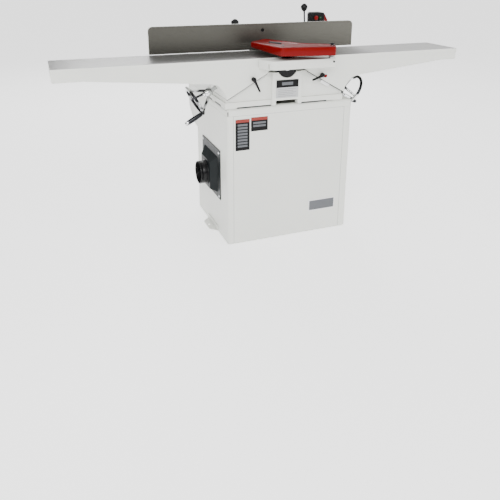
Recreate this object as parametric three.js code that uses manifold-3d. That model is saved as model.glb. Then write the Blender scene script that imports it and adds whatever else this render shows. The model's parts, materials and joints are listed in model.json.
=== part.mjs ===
// An 8-inch cabinet jointer, in millimetres, +Z up.
//
// The machine is laid out in shop coordinates: x runs along the tables with 0 halfway between their
// ends, y runs from the front edge of the tables towards the fence, and z runs up from the floor.
// The exported group shifts y so that its origin is the centre of the footprint's bounding box.
import * as THREE from "three";
import { mergeVertices } from "three/addons/utils/BufferGeometryUtils.js";
import Module from "manifold-3d";

const wasm = await Module();
wasm.setup();

// ---- Driving dimensions ----
const GAP = 0.4; // clearance between pieces that touch
const FRONT_OVERHANG = 118; // the guard's reach in front of the tables
const REAR_REACH = 606; // the rear hood's reach behind the tables' front edge

const TABLE = { half: 850, depth: 210, top: 780, end: 48, lip: 15, lipStep: 2, deck: 13, wall: 12 };
const INFEED_DROP = 4; // how far the infeed table sits below the outfeed table at rest
const CUTTER = { x: 33, z: 739.5, radius: 40.5, body: 38, journal: 15, front: 14, rear: 208 };

const WAY = { slope: 29.4 * (Math.PI / 180), innerX: 84, innerZ: 719.5, outerX: 254 };
const INFEED_TRAVEL = INFEED_DROP / Math.sin(WAY.slope);
const BASE = { bottom: 588.3, front: 15, rear: 275, flangeTop: 611, flangeOut: 5, wall: 14 };

const CABINET = {
  left: -218, right: 340, front: 8, rear: 445, height: 586, shoulder: 30, corner: 15, sheet: 3,
  leftWrap: 25, rightWrap: 37,
};
const HOOD = { bottom: 398, reach: REAR_REACH, sheet: 3 };
const DUST = {
  y: 228, z: 258, plateZ: 278, plateW: 255, plateH: 220, collarR: 50, bore: 46.5, reach: 63,
};

const LEDGE = { left: -100, right: 203, reach: 72, drop: 4, height: 34, curl: 46 };
const GUARD = { x: 184, y: -62, low: 794, high: 827, post: 6 };
const SPRING = { bore: 7.6, waist: 8.8, coil: 10.8 };

const FENCE = { left: -472, right: 438, face: 207, thick: 12, low: 782.2, high: 890, corner: 18 };
const TILT = { y: 215, z: 787, boss: 4.5, pin: 2.5 };
const CARRIAGE = { low: 783.5, high: 800, front: 245, rear: 420, left: 20, right: 200 };
const BED = { left: 104, right: 196, front: 222, rear: 430, low: 760, high: 783 };

const WHEEL = { rim: 60, tube: 6.5, hub: 17, dish: 63, y: 105, aboveWay: 39.6 };
const WHEEL_REACH = { outfeed: 353, infeed: 351 };
const SCREW_TIP = 135;
const GRIP = { radius: 9.5, length: 78 };

const DRIVE = { y: 291, width: 20, cutterPulley: 28, motorPulley: 45, motorX: 170, motorZ: 140 };
const MOTOR = { radius: 78, front: 40, rear: 262 };
const SWITCH = { left: 280, right: 362, front: 330, rear: 384, low: 842, high: 917 };

// ---- Materials ----
const paint = (color, roughness = 0.45, metalness = 0) => ({ color, roughness, metalness });
const WHITE = paint(0xd8dad2, 0.42);
const GROUND_IRON = paint(0x9fa09c, 0.38, 0.85);
const FENCE_IRON = paint(0x86867e, 0.35, 0.85);
const CAST = paint(0x55575a, 0.6, 0.7);
const STEEL = paint(0xb4b7ba, 0.3, 0.95);
const CHROME = paint(0xd5d8dc, 0.12, 1);
const BLACK = paint(0x141516, 0.45);
const DARK_SHEET = paint(0x2a3030, 0.5, 0.3);
const RED = paint(0xc01018, 0.3);
const GREEN = paint(0x1f8a45, 0.4);
const RUBBER = paint(0x1b1b1c, 0.85);
const LABEL = paint(0x8d9092, 0.5, 0.2);
const MOTOR_GREY = paint(0x3c4044, 0.5, 0.3);

// ---- Solids ----
function solid(geometry) {
  const bare = new THREE.BufferGeometry();
  bare.setAttribute("position", geometry.getAttribute("position"));
  if (geometry.index) bare.setIndex(geometry.index);
  const merged = mergeVertices(bare, 1e-4);
  return new wasm.Manifold(
    new wasm.Mesh({
      numProp: 3,
      vertProperties: new Float32Array(merged.attributes.position.array),
      triVerts: new Uint32Array(merged.index.array),
    }),
  );
}

function geometryOf(manifold) {
  const mesh = manifold.getMesh();
  const geometry = new THREE.BufferGeometry();
  geometry.setAttribute("position", new THREE.BufferAttribute(mesh.vertProperties, 3));
  geometry.setIndex(new THREE.BufferAttribute(mesh.triVerts, 1));
  geometry.computeVertexNormals();
  return geometry;
}

const join = (...parts) => parts.reduce((sum, part) => sum.add(part));
const cut = (body, ...tools) => tools.reduce((rest, tool) => rest.subtract(tool), body);

// ---- Outlines ----
const polygon = (points) => new THREE.Shape(points.map(([a, b]) => new THREE.Vector2(a, b)));

// A closed outline whose corners are [a, b] or, to be rounded, [a, b, radius].
function rounded(points, steps = 5) {
  const out = [];
  const count = points.length;
  for (let i = 0; i < count; i++) {
    const [a, b, radius = 0] = points[i];
    const here = new THREE.Vector2(a, b);
    if (!radius) {
      out.push(here);
      continue;
    }
    const before = new THREE.Vector2(...points[(i + count - 1) % count].slice(0, 2));
    const after = new THREE.Vector2(...points[(i + 1) % count].slice(0, 2));
    const toBefore = before.sub(here).normalize();
    const toAfter = after.sub(here).normalize();
    const half = Math.acos(THREE.MathUtils.clamp(toBefore.dot(toAfter), -1, 1)) / 2;
    const reach = radius / Math.tan(half);
    const centre = here
      .clone()
      .add(toBefore.clone().add(toAfter).normalize().multiplyScalar(radius / Math.sin(half)));
    const start = here.clone().addScaledVector(toBefore, reach).sub(centre);
    const end = here.clone().addScaledVector(toAfter, reach).sub(centre);
    const sweep = Math.atan2(start.cross(end), start.dot(end));
    for (let k = 0; k <= steps; k++) {
      out.push(start.clone().rotateAround(new THREE.Vector2(), (sweep * k) / steps).add(centre));
    }
  }
  return new THREE.Shape(out);
}

// ---- Prisms: an outline in one plane, extruded along the third axis ----
const asShape = (outline) => (Array.isArray(outline) ? polygon(outline) : outline);

function extrude(outline, low, high) {
  const options = { depth: high - low, bevelEnabled: false, steps: 1 };
  return new THREE.ExtrudeGeometry(asShape(outline), options).translate(0, 0, low);
}

const planPrism = (outline, z0, z1) => solid(extrude(outline, z0, z1));

function frontPrism(outline, y0, y1) {
  return solid(extrude(outline, -y1, -y0).rotateX(Math.PI / 2));
}

function sidePrism(outline, x0, x1) {
  const turn = new THREE.Matrix4().makeBasis(
    new THREE.Vector3(0, 1, 0),
    new THREE.Vector3(0, 0, 1),
    new THREE.Vector3(1, 0, 0),
  );
  return solid(extrude(outline, x0, x1).applyMatrix4(turn));
}

function block(x0, x1, y0, y1, z0, z1) {
  const box = new THREE.BoxGeometry(x1 - x0, y1 - y0, z1 - z0);
  return solid(box.translate((x0 + x1) / 2, (y0 + y1) / 2, (z0 + z1) / 2));
}

// A round bar between two points, tapering from one radius to another.
function bar(from, to, radius, segments = 16, farRadius = radius) {
  const a = new THREE.Vector3(...from);
  const b = new THREE.Vector3(...to);
  const along = b.clone().sub(a);
  const geometry = new THREE.CylinderGeometry(farRadius, radius, along.length(), segments);
  const up = new THREE.Vector3(0, 1, 0);
  geometry.applyQuaternion(new THREE.Quaternion().setFromUnitVectors(up, along.normalize()));
  return solid(geometry.translate(...a.add(b).multiplyScalar(0.5).toArray()));
}

// A turned piece: [radius, height] pairs that start and end on the axis, about local +Z.
function turned(profile, segments = 28) {
  const points = profile.map(([r, h]) => new THREE.Vector2(r, h));
  return solid(new THREE.LatheGeometry(points, segments).rotateX(Math.PI / 2));
}

// ---- The scene graph ----
const machine = new THREE.Group();
machine.position.y = -(REAR_REACH - FRONT_OVERHANG) / 2;

function place(name, manifold, look, parent = machine) {
  const mesh = new THREE.Mesh(geometryOf(manifold), new THREE.MeshStandardMaterial(look));
  mesh.name = name;
  parent.add(mesh);
  return mesh;
}

// ---- Cabinet ----
function cabinetSide(sign) {
  const { left, right, front, rear, corner, sheet, height, shoulder, leftWrap, rightWrap } = CABINET;
  const wall = sign < 0 ? left : right;
  const wrap = wall - sign * (sign < 0 ? leftWrap : rightWrap);
  const inner = wall - sign * sheet;
  const outline = rounded([
    [wall, rear],
    [wall, front, corner],
    [wrap, front],
    [wrap, front + sheet],
    [inner, front + sheet, corner - sheet],
    [inner, rear],
  ]);
  return planPrism(outline, 0, height - shoulder);
}

function buildCabinet() {
  const { left, right, front, rear, corner, sheet, height, shoulder, leftWrap, rightWrap } = CABINET;
  const panelTop = height - shoulder;
  const portHole = block(left - 5, left + 10, DUST.y - 75, DUST.y + 75, DUST.z - 55, DUST.z + 75);
  place("cabinet_left_side", cut(cabinetSide(-1), portHole), WHITE);
  place("cabinet_right_side", cabinetSide(1), WHITE);

  const panelLeft = left + leftWrap + GAP;
  const panelRight = right - rightWrap - GAP;
  const panel = block(panelLeft, panelRight, front + 0.6, front + 0.6 + sheet, 0, panelTop);
  place("cabinet_front_panel", panel, WHITE);

  const rearLeft = left + sheet + GAP;
  const rearRight = right - sheet - GAP;
  let rearPanel = block(rearLeft, rearRight, rear - sheet, rear, 0, HOOD.bottom - GAP);
  for (let row = 0; row < 5; row++) {
    const z = 90 + row * 22;
    rearPanel = cut(rearPanel, block(-60, 180, rear - 10, rear + 5, z, z + 7));
  }
  place("cabinet_rear_panel", rearPanel, WHITE);

  const floor = block(rearLeft, rearRight, front + corner + 1, rear - sheet - GAP, 0, sheet);
  place("cabinet_floor", cut(floor, block(-120, 40, 120, 340, -1, sheet + 1)), WHITE);

  const rim = (inset) => rounded([
    [left + inset, rear],
    [left + inset, front + inset, corner - inset],
    [right - inset, front + inset, corner - inset],
    [right - inset, rear],
  ]);
  const edge = 11;
  let pan = planPrism(rim(0), panelTop + GAP, height - edge);
  const levels = 4;
  for (let k = 0; k < levels; k++) {
    const drop = (t) => edge * (1 - Math.sin((t * Math.PI) / 2));
    const inset = edge * (1 - Math.cos(((k + 0.5) / levels) * (Math.PI / 2)));
    const low = height - drop(k / levels);
    pan = pan.add(planPrism(rim(inset), low - 0.01, height - drop((k + 1) / levels)));
  }
  const skirt = block(left + sheet, right - sheet, front + sheet, rear + 5, 0, height - edge - 1);
  const thick = edge + 2;
  const under = block(left + thick, right - thick, front + thick, rear + 5, 0, height - sheet);
  const chipMouth = block(-130, 175, 40, 250, 500, 600);
  const beltMouth = block(10, 125, DRIVE.y - 8, DRIVE.y + DRIVE.width + 8, 500, 600);
  place("cabinet_top_pan", cut(pan, skirt, under, chipMouth, beltMouth), WHITE);

  const hoodShape = (inset) => {
    const low = HOOD.bottom + inset;
    const far = HOOD.reach - inset;
    return rounded([
      [rear + GAP, low],
      [rear + 60, low, 90],
      [far, 470, 60],
      [far, height - inset, 22],
      [rear + GAP, height - inset],
    ]);
  };
  const hood = sidePrism(hoodShape(0), left + 4, right - 4);
  const hollow = sidePrism(hoodShape(HOOD.sheet), left + 4 + HOOD.sheet, right - 4 - HOOD.sheet);
  const mouth = block(left + 7, right - 7, rear - 5, rear + 8, HOOD.bottom + 3, height - 3);
  place("rear_hood", cut(hood, hollow, mouth), WHITE);

  for (const [name, wall, sign] of [["left_anchor_foot", left, -1], ["right_anchor_foot", right, 1]]) {
    const near = wall + sign * GAP;
    const outline = [[near, 150], [near, 294], [near + sign * 31, 264], [near + sign * 31, 180]];
    const tab = planPrism(outline, 0, 4);
    const far = near + sign * 3;
    const flange = block(Math.min(near, far), Math.max(near, far), 150, 294, 0, 26);
    const hole = bar([near + sign * 19, 222, -1], [near + sign * 19, 222, 6], 6, 16);
    place(name, cut(join(tab, flange), hole), WHITE);
  }
}

// ---- Dust port ----
// A frustum between two rectangles that face -X: [x, centre z, half width, half height] at each end.
function frustum([xa, za, wa, ha], [xb, zb, wb, hb]) {
  const ring = (x, z, w, h) => [[x, -w, z - h], [x, w, z - h], [x, w, z + h], [x, -w, z + h]];
  const corners = [...ring(xa, za, wa, ha), ...ring(xb, zb, wb, hb)];
  const at = corners.map(([x, y, z]) => [x, DUST.y + y, z]);
  const faces = [0, 1, 2, 0, 2, 3, 4, 6, 5, 4, 7, 6];
  for (let k = 0; k < 4; k++) {
    const n = (k + 1) % 4;
    faces.push(k, k + 4, n, n, k + 4, n + 4);
  }
  const geometry = new THREE.BufferGeometry();
  geometry.setAttribute("position", new THREE.Float32BufferAttribute(at.flat(), 3));
  geometry.setIndex(faces);
  return solid(geometry);
}

function buildDustPort() {
  const wall = CABINET.left - GAP;
  const plate = block(
    wall - 3, wall,
    DUST.y - DUST.plateW / 2, DUST.y + DUST.plateW / 2,
    DUST.plateZ - DUST.plateH / 2, DUST.plateZ + DUST.plateH / 2,
  );
  const outer = frustum([wall - 1, DUST.plateZ - 4, 92, 82], [wall - 28, DUST.z + 2, 62, 62]);
  const inner = frustum([wall + 1, DUST.plateZ - 4, 88, 78], [wall - 25, DUST.z + 2, 57, 57]);
  const throat = bar([wall - 40, DUST.y, DUST.z], [wall, DUST.y, DUST.z], DUST.collarR + GAP, 28);
  place("dust_chute", cut(join(plate, outer), inner, throat), DARK_SHEET);

  const tip = CABINET.left - DUST.reach;
  const tube = bar([tip, DUST.y, DUST.z], [wall - 20, DUST.y, DUST.z], DUST.collarR, 28);
  const flange = bar([wall - 32, DUST.y, DUST.z], [wall - 28.4, DUST.y, DUST.z], 57, 28);
  const bore = bar([tip - 5, DUST.y, DUST.z], [wall, DUST.y, DUST.z], DUST.bore, 28);
  place("dust_collar", cut(join(tube, flange), bore), BLACK);

  const ramp = [[160, 560], [-205, 214], [-205, 210], [160, 555.5]];
  place("chip_chute", frontPrism(ramp, 30, 272), WHITE);
}

// ---- Ways: the slopes on the base that the tables slide on ----
const wayHeight = (dx) => WAY.innerZ - Math.tan(WAY.slope) * (dx - WAY.innerX);
const onSide = (side, points) => points.map(([dx, ...rest]) => [CUTTER.x + side * dx, ...rest]);

// ---- Base casting ----
function buildBase() {
  const top = WAY.innerZ;
  const half = (side) => onSide(side, [
    [0, BASE.bottom],
    [WAY.outerX, BASE.bottom],
    [WAY.outerX, wayHeight(WAY.outerX)],
    [WAY.innerX, top],
    [0, top],
  ]);
  const body = join(
    frontPrism(half(-1), BASE.front, BASE.rear),
    frontPrism(half(1), BASE.front, BASE.rear),
    block(CUTTER.x - 5, CUTTER.x + 5, BASE.front, BASE.rear, BASE.bottom, top),
  );
  const out = BASE.flangeOut;
  const flangeLeft = CUTTER.x - WAY.outerX - out;
  const flangeRight = CUTTER.x + WAY.outerX + out;
  const flange = block(
    flangeLeft, flangeRight, BASE.front - out, BASE.rear + out, BASE.bottom, BASE.flangeTop,
  );
  const boss = block(CUTTER.x - 64, CUTTER.x + 64, 1, BASE.front + 1, BASE.bottom, top);
  const pads = [];
  for (const x of [flangeLeft, flangeRight - 46]) {
    for (const y of [BASE.front - out, BASE.rear + out - 46]) {
      pads.push(block(x, x + 46, y, y + 46, CABINET.height + GAP, BASE.bottom + 1));
    }
  }
  const hollow = (side) => onSide(side, [
    [0, BASE.bottom - 3],
    [WAY.outerX - BASE.wall, BASE.bottom - 3],
    [WAY.outerX - BASE.wall, wayHeight(WAY.outerX) - 18],
    [WAY.innerX, top - 24],
    [0, top - 24],
  ]);
  const hollows = [-1, 1].map((side) =>
    frontPrism(hollow(side), BASE.front + BASE.wall, BASE.rear - BASE.wall),
  );
  const seat = bar([CUTTER.x, -5, CUTTER.z], [CUTTER.x, BASE.rear + 9, CUTTER.z], 43.5, 32);
  const notch = block(CUTTER.x - 48, CUTTER.x + 48, -5, BASE.front + 20, BASE.bottom - 5, 607);
  const endSlots = [];
  for (const [y0, y1] of [[62, 140], [180, 264]]) {
    endSlots.push(block(flangeLeft - 5, flangeLeft + 24, y0, y1, BASE.bottom - 1, BASE.bottom + 5));
  }
  const whole = join(body, flange, boss, ...pads);
  place("base_casting", cut(whole, ...hollows, seat, notch, ...endSlots), WHITE);

  const plate = block(CUTTER.x - 48, CUTTER.x + 48, -0.6, 0.6, 617, 689);
  place("base_nameplate", plate, LABEL);
}

// ---- Tables ----
// One table in cutterhead coordinates: dx grows away from the cutterhead on its own side.
function tableCasting(side) {
  const end = TABLE.half - side * CUTTER.x - (side > 0 ? INFEED_TRAVEL * Math.cos(WAY.slope) : 0);
  const slope = (dx) => wayHeight(dx) + GAP / Math.cos(WAY.slope);
  const flat = end - (side < 0 ? 104 : 79);
  const throat = [
    [27, 776],
    [27, TABLE.top],
  ];
  const underside = [
    [end, TABLE.top],
    [end, TABLE.top - TABLE.end, 5],
    [flat, TABLE.top - TABLE.end],
    [321, 692, 30],
    [286, 684, 26],
    [256, 646, 20],
    [WAY.outerX - 2, slope(WAY.outerX - 2)],
    [WAY.innerX, slope(WAY.innerX)],
    [WAY.innerX, 726],
    [58, 734],
  ];
  const outline = rounded(onSide(side, [...throat, ...underside]), 4);
  const body = frontPrism(outline, TABLE.lipStep, TABLE.depth - TABLE.lipStep);
  const lipLow = TABLE.top - TABLE.lip;
  const lipOutline = onSide(side, [...throat, [end, TABLE.top], [end, lipLow], [38, lipLow]]);
  const lip = frontPrism(lipOutline, 0, TABLE.depth);
  const y0 = TABLE.wall + 2;
  const y1 = TABLE.depth - TABLE.wall - 2;
  const deck = TABLE.top - TABLE.deck;
  const pockets = [];
  const bays = 4;
  const bayStart = 330;
  const bay = (end - 14 - bayStart) / bays;
  for (let k = 0; k < bays; k++) {
    const near = bayStart + k * bay;
    const far = near + bay - 10;
    pockets.push(frontPrism(onSide(side, [[near, 600], [far, 600], [far, deck], [near, deck]]), y0, y1));
  }
  const nutBay = onSide(side, [
    [112, slope(112) - 5], [234, slope(234) - 5], [234, 700], [160, deck - 8], [112, deck - 8],
  ]);
  pockets.push(frontPrism(nutBay, 70, 150));
  const gibSlot = onSide(side, [
    [100, slope(100) - 2], [238, slope(238) - 2], [238, slope(238) + 9], [100, slope(100) + 9],
  ]);
  pockets.push(frontPrism(gibSlot, 24, 40));
  const run = (dx) => [CUTTER.x + side * dx, WHEEL.y, wayHeight(dx) + WHEEL.aboveWay];
  pockets.push(bar(run(200), run(340), 9.2, 24));
  return cut(join(body, lip), ...pockets);
}

// What rides with a table: gib, lock lever, adjusting screw, handwheel and its grip.
function tableFittings(name, side, group) {
  const slope = (dx) => wayHeight(dx) + GAP / Math.cos(WAY.slope);
  const gib = onSide(side, [
    [101, slope(101) + 0.3], [237, slope(237) + 0.3], [237, slope(237) + 8.3], [101, slope(101) + 8.3],
  ]);
  place(`${name}_gib`, frontPrism(gib, 24.5, 39.5), STEEL, group);

  const along = new THREE.Vector3(side * Math.cos(WAY.slope), 0, -Math.sin(WAY.slope));
  const axle = new THREE.Group();
  const reach = WHEEL_REACH[name];
  axle.position.set(CUTTER.x + side * reach, WHEEL.y, wayHeight(reach) + WHEEL.aboveWay);
  axle.quaternion.setFromUnitVectors(new THREE.Vector3(0, 0, 1), along);
  group.add(axle);

  const sides = 6;
  const section = Array.from({ length: sides }, (_, k) => {
    const a = (k / sides) * 2 * Math.PI;
    return new THREE.Vector2(WHEEL.rim + WHEEL.tube * Math.cos(a), WHEEL.tube * Math.sin(a));
  });
  section.push(section[0].clone());
  const rim = solid(new THREE.LatheGeometry(section, 24).rotateX(Math.PI / 2));
  const hub = bar([0, 0, -WHEEL.dish - 14], [0, 0, -WHEEL.dish + 18], WHEEL.hub, 16, WHEEL.hub - 3);
  const gripAngle = side < 0 ? -0.79 * Math.PI : 0.3 * Math.PI;
  const spokes = [0, 1, 2].map((k) => {
    const a = gripAngle + (k * 2 * Math.PI) / 3;
    const inner = [9 * Math.cos(a), 9 * Math.sin(a), -WHEEL.dish + 5];
    const outer = [(WHEEL.rim - 1) * Math.cos(a), (WHEEL.rim - 1) * Math.sin(a), -0.7];
    return bar(inner, outer, 7.5, 8, 5.5);
  });
  const pinAt = [WHEEL.rim * Math.cos(gripAngle), WHEEL.rim * Math.sin(gripAngle)];
  const pin = bar([...pinAt, 1.3], [...pinAt, 20 + GRIP.length / 2], 4, 12);
  place(`${name}_handwheel`, join(rim, hub, ...spokes, pin), CHROME, axle);

  const gripStart = WHEEL.tube + 2;
  const grip = cut(
    turned([
      [0, gripStart], [7.5, gripStart], [GRIP.radius, gripStart + 9],
      [GRIP.radius, gripStart + GRIP.length - 12], [8, gripStart + GRIP.length - 3],
      [5.5, gripStart + GRIP.length], [0, gripStart + GRIP.length],
    ], 14),
    bar([0, 0, 0], [0, 0, 20.8 + GRIP.length / 2], 4.5, 16),
  );
  const gripMesh = place(`${name}_handwheel_grip`, grip, CHROME, axle);
  gripMesh.position.set(...pinAt, 0);

  const screwEnd = (SCREW_TIP - reach) / Math.cos(WAY.slope);
  const screw = join(
    bar([0, 0, screwEnd], [0, 0, -WHEEL.dish - 14 - GAP], 8, 16),
    bar([0, 0, -WHEEL.dish - 17.5], [0, 0, -WHEEL.dish - 14 - GAP], 12, 16),
  );
  place(`${name}_adjusting_screw`, screw, STEEL, axle);
}

function lockLever(name, x, z, angle, group) {
  const lever = new THREE.Group();
  lever.position.set(x, 0, z);
  lever.rotation.y = angle;
  group.add(lever);
  const hub = bar([0, -14, 0], [0, 1.6, 0], 8, 20);
  const arm = bar([0, -9, 0], [0, -13, -52], 4, 14, 6);
  place(name, join(hub, arm), BLACK, lever);
}

function buildTables() {
  const outfeed = new THREE.Group();
  machine.add(outfeed);
  place("outfeed_table", tableCasting(-1), GROUND_IRON, outfeed);
  tableFittings("outfeed", -1, outfeed);
  lockLever("outfeed_lock_lever", -113, 700, -0.4, outfeed);

  const infeed = new THREE.Group();
  infeed.position.set(INFEED_TRAVEL * Math.cos(WAY.slope), 0, -INFEED_DROP);
  machine.add(infeed);
  place("infeed_table", tableCasting(1), GROUND_IRON, infeed);
  tableFittings("infeed", 1, infeed);
  lockLever("infeed_lock_lever", 178, 703, 1.3, infeed);

  const pointer = join(
    frontPrism([[0, 0], [7, 3], [7, 13], [-7, 13], [-7, 3]], -1.4, 0),
    bar([0, 0, 8], [0, -4, 8], 4.5, 14),
  );
  const pointerMesh = place("depth_pointer", pointer, RED, infeed);
  pointerMesh.position.set(196, TABLE.lipStep - GAP, 690);

  const ledgeTop = TABLE.top - LEDGE.drop + INFEED_DROP;
  const { left, right, reach, curl, height } = LEDGE;
  const plan = new THREE.Shape();
  plan.moveTo(right, -GAP);
  plan.lineTo(right, -reach + 12);
  plan.absarc(right - 12, -reach + 12, 12, 0, -Math.PI / 2, true);
  plan.lineTo(left + curl, -reach);
  plan.quadraticCurveTo(left + 18, -reach + 4, left, -GAP);
  plan.closePath();
  const options = { depth: height, bevelEnabled: false, curveSegments: 6 };
  const ledge = solid(new THREE.ExtrudeGeometry(plan, options).translate(0, 0, ledgeTop - height));
  const relief = block(left - 5, CUTTER.x + 30, -2.5, 5, 0, ledgeTop + 5);
  const postHole = bar([GUARD.x, GUARD.y, 0], [GUARD.x, GUARD.y, 900], GUARD.post + GAP, 20);
  const webCut = block(left + 20, right - 60, -reach + 14, -14, 0, ledgeTop - 12);
  place("rabbeting_ledge", cut(ledge, relief, postHole, webCut), WHITE, infeed);
  return infeed;
}

function buildScrewNuts() {
  for (const [name, side] of [["outfeed_screw_nut", -1], ["infeed_screw_nut", 1]]) {
    const rise = (dx, h) => [dx, wayHeight(dx) + h];
    const outline = onSide(side, [rise(175, 0.5), rise(199, 0.5), rise(199, 54), rise(175, 54)]);
    const along = (dx) => [CUTTER.x + side * dx, WHEEL.y, wayHeight(dx) + WHEEL.aboveWay];
    const nut = cut(frontPrism(outline, 84, 126), bar(along(150), along(225), 8.7, 24));
    place(name, nut, CAST);
  }
}

// ---- Guard ----
function buildGuard(infeed) {
  const ledgeTop = TABLE.top - LEDGE.drop + INFEED_DROP;
  const outline = (inset) => rounded([
    [10, 203 - inset * 1.4, 12],
    [-84 + inset, 130, 16],
    [-36 + inset, -72 + inset * 0.9, 14],
    [170 - inset * 0.4, -118 + inset, 8],
    [186 - inset, -92 + inset * 0.3, 12],
    [202 - inset * 1.2, -56, 12],
    [195 - inset * 0.5, -38 - inset, 12],
    [95, 26 - inset * 0.9, 60],
  ], 3);
  const lift = INFEED_DROP;
  const low = GUARD.low + lift;
  const high = GUARD.high + lift;
  let shell = planPrism(outline(0), low, high - 5);
  const shoulder = planPrism(outline(2), high - 5.01, high - 2);
  shell = join(shell, shoulder, planPrism(outline(5), high - 2.01, high));
  const inside = planPrism(outline(5), low - 1, high - 6);
  const boss = bar([GUARD.x, GUARD.y, low], [GUARD.x, GUARD.y, high - 4], 12, 24);
  const tipOutline = [[0, low - 3], [210, low - 3], [210, low + 18], [130, low + 14], [0, low]];
  const tipRamp = sidePrism(tipOutline, -120, 70);
  const bore = bar([GUARD.x, GUARD.y, 0], [GUARD.x, GUARD.y, 900], GUARD.post + 0.5, 20);
  const guardBody = cut(join(cut(shell, inside), boss), tipRamp, bore);
  place("cutterhead_guard", guardBody, RED, infeed);

  const foot = ledgeTop + 0.5;
  const post = join(
    bar([GUARD.x, GUARD.y, ledgeTop - 28], [GUARD.x, GUARD.y, high + 3], GUARD.post, 20),
    bar([GUARD.x, GUARD.y, foot], [GUARD.x, GUARD.y, foot + 6], 12, 20),
  );
  place("guard_post", post, STEEL, infeed);
  const cap = cut(
    bar([GUARD.x, GUARD.y, high + 0.6], [GUARD.x, GUARD.y, high + 7], 9.5, 6),
    bar([GUARD.x, GUARD.y, high - 5], [GUARD.x, GUARD.y, high + 3.4], GUARD.post + 0.4, 20),
  );
  place("guard_post_cap", cap, BLACK, infeed);

  // The return spring's coils, closed up into one ribbed sleeve round the post.
  const coils = 4;
  const springFoot = foot + 7;
  const pitch = (low - 1 - springFoot) / coils;
  let spring = bar([GUARD.x, GUARD.y, springFoot], [GUARD.x, GUARD.y, low - 1], SPRING.waist, 24);
  for (let k = 0; k < coils; k++) {
    const coilLow = springFoot + k * pitch;
    const at = (z) => [GUARD.x, GUARD.y, z];
    spring = join(
      spring,
      bar(at(coilLow), at(coilLow + pitch / 2), SPRING.waist, 24, SPRING.coil),
      bar(at(coilLow + pitch / 2), at(coilLow + pitch), SPRING.coil, 24, SPRING.waist),
    );
  }
  const springBore = bar([GUARD.x, GUARD.y, foot], [GUARD.x, GUARD.y, low + 5], SPRING.bore, 20);
  place("guard_spring", cut(spring, springBore), STEEL, infeed);
}

// ---- Cutterhead and bearings ----
function buildCutterhead() {
  const head = new THREE.Group();
  head.position.set(CUTTER.x, 0, CUTTER.z);
  machine.add(head);
  const knives = [0, 1, 2];
  const slotAngle = (k) => Math.PI / 2 + (k * 2 * Math.PI) / knives.length;
  let body = bar([0, CUTTER.front, 0], [0, CUTTER.rear, 0], CUTTER.body, 36);
  const turnedSlot = (k, shape, y0, y1) =>
    frontPrism(shape, y0, y1).rotate([0, -(slotAngle(k) * 180) / Math.PI, 0]);
  const slot = [[23, -4.6], [45, -4.6], [45, 7], [37, 7], [33, -0.8], [23, -0.8]];
  for (const k of knives) body = cut(body, turnedSlot(k, slot, 0, 230));
  const shaft = bar([0, 1.5, 0], [0, DRIVE.y + DRIVE.width + 4, 0], CUTTER.journal, 20);
  place("cutterhead", join(body, shaft), STEEL, head);
  for (const k of knives) {
    const blade = [[23.4, -4.2], [39, -4.2], [CUTTER.radius, -3.6], [38, -1.2], [23.4, -1.2]];
    place(`knife_${k + 1}`, turnedSlot(k, blade, CUTTER.front, CUTTER.rear), CHROME, head);
  }
  const housing = (y0, y1) => {
    const ring = bar([0, y0, 0], [0, y1, 0], 40.5, 32);
    return cut(ring, bar([0, y0 - 1, 0], [0, y1 + 1, 0], CUTTER.journal + 0.6, 20));
  };
  place("front_bearing_housing", housing(2, 13), BLACK, head);
  place("rear_bearing_housing", housing(CUTTER.rear + 1.5, 240), CAST, head);
  const pulley = cut(
    turned([
      [0, 0], [DRIVE.cutterPulley, 0], [DRIVE.cutterPulley, 3], [DRIVE.cutterPulley - 6, 7],
      [DRIVE.cutterPulley - 6, 13], [DRIVE.cutterPulley, 17], [DRIVE.cutterPulley, DRIVE.width],
      [0, DRIVE.width],
    ], 24),
    bar([0, 0, -5], [0, 0, 30], CUTTER.journal + 0.6, 20),
  );
  const pulleyMesh = place("cutterhead_pulley", pulley, CAST, head);
  pulleyMesh.rotation.x = -Math.PI / 2;
  pulleyMesh.position.y = DRIVE.y;
}

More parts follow.
